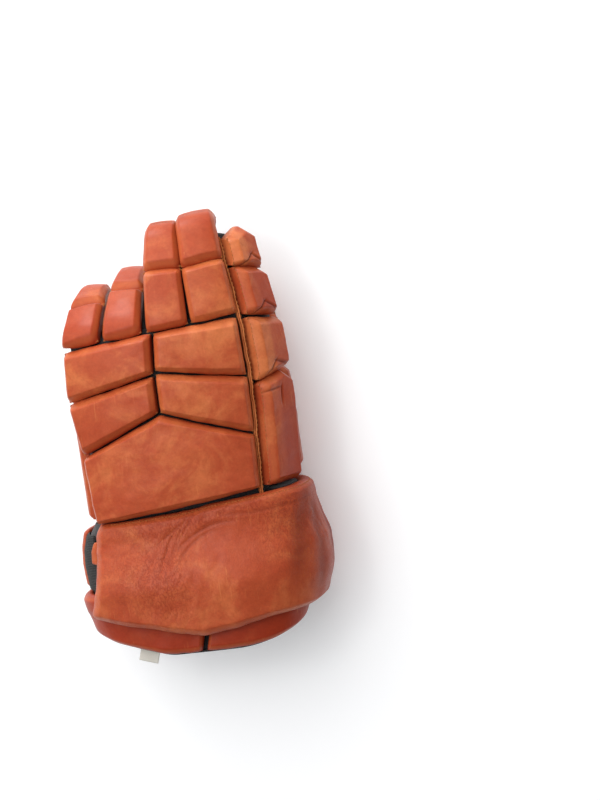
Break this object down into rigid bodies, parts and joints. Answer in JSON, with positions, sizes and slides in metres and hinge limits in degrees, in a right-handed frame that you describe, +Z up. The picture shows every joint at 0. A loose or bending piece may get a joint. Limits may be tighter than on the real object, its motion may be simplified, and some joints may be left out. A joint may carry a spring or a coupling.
{
  "type": "ice hockey glove",
  "caption": "Padded leather ice hockey glove for the left hand, with a hollow cloth lining, rolled blocks on back and fingers, a blocky thumb and a deep flared cuff.",
  "frame": {"origin": "under the middle of the glove's bounding box, on the surface that it lies on palm down", "axes": "+Y from the cuff to the fingertips, +Z up out of the back of the hand, +X towards the thumb side"},
  "size_m": [0.1976, 0.3384, 0.1185],
  "materials": {
    "orange_leather": "satin",
    "black_cloth": "matte",
    "grey_suede": "matte",
    "black_mesh": "matte",
    "black_ribbing": "matte",
    "tag_cloth": "matte"
  },
  "bodies": {
    "root": {"back_roll_index": "orange_leather", "back_roll_little": "orange_leather", "backhand_pad": "orange_leather", "cuff_flap_little": "orange_leather", "cuff_flap_thumb": "orange_leather", "cuff_lining": "black_cloth", "cuff_strap": "orange_leather", "hand_lining": "black_cloth", "index_base_pad": "orange_leather", "index_palm": "grey_suede", "index_side_base_pad": "orange_leather", "index_side_mid_pad": "orange_leather", "index_side_tip_pad": "orange_leather", "index_stall": "black_cloth", "index_tip_pad": "orange_leather", "knuckle_roll_index": "orange_leather", "knuckle_roll_little": "orange_leather", "little_base_pad": "orange_leather", "little_palm": "grey_suede", "little_side_base_pad": "orange_leather", "little_side_mid_pad": "orange_leather", "little_stall": "black_cloth", "little_tip_pad": "orange_leather", "middle_base_pad": "orange_leather", "middle_palm": "grey_suede", "middle_stall": "black_cloth", "middle_tip_pad": "orange_leather", "palm_binding": "black_ribbing", "palm_cuff_little_panel": "orange_leather", "palm_cuff_lower_roll": "orange_leather", "palm_cuff_thumb_panel": "orange_leather", "palm_cuff_upper_roll": "orange_leather", "palm_mesh": "black_mesh", "palm_suede": "grey_suede", "ring_base_pad": "orange_leather", "ring_palm": "grey_suede", "ring_stall": "black_cloth", "ring_tip_pad": "orange_leather", "side_webbing": "black_ribbing", "size_tag": "tag_cloth", "thumb_base_pad": "orange_leather", "thumb_binding_inner": "black_ribbing", "thumb_binding_outer": "black_ribbing", "thumb_side_block": "orange_leather", "thumb_stall": "black_cloth", "thumb_tip_pad": "orange_leather", "wrist_elastic": "black_ribbing"}
  },
  "joints": []
}
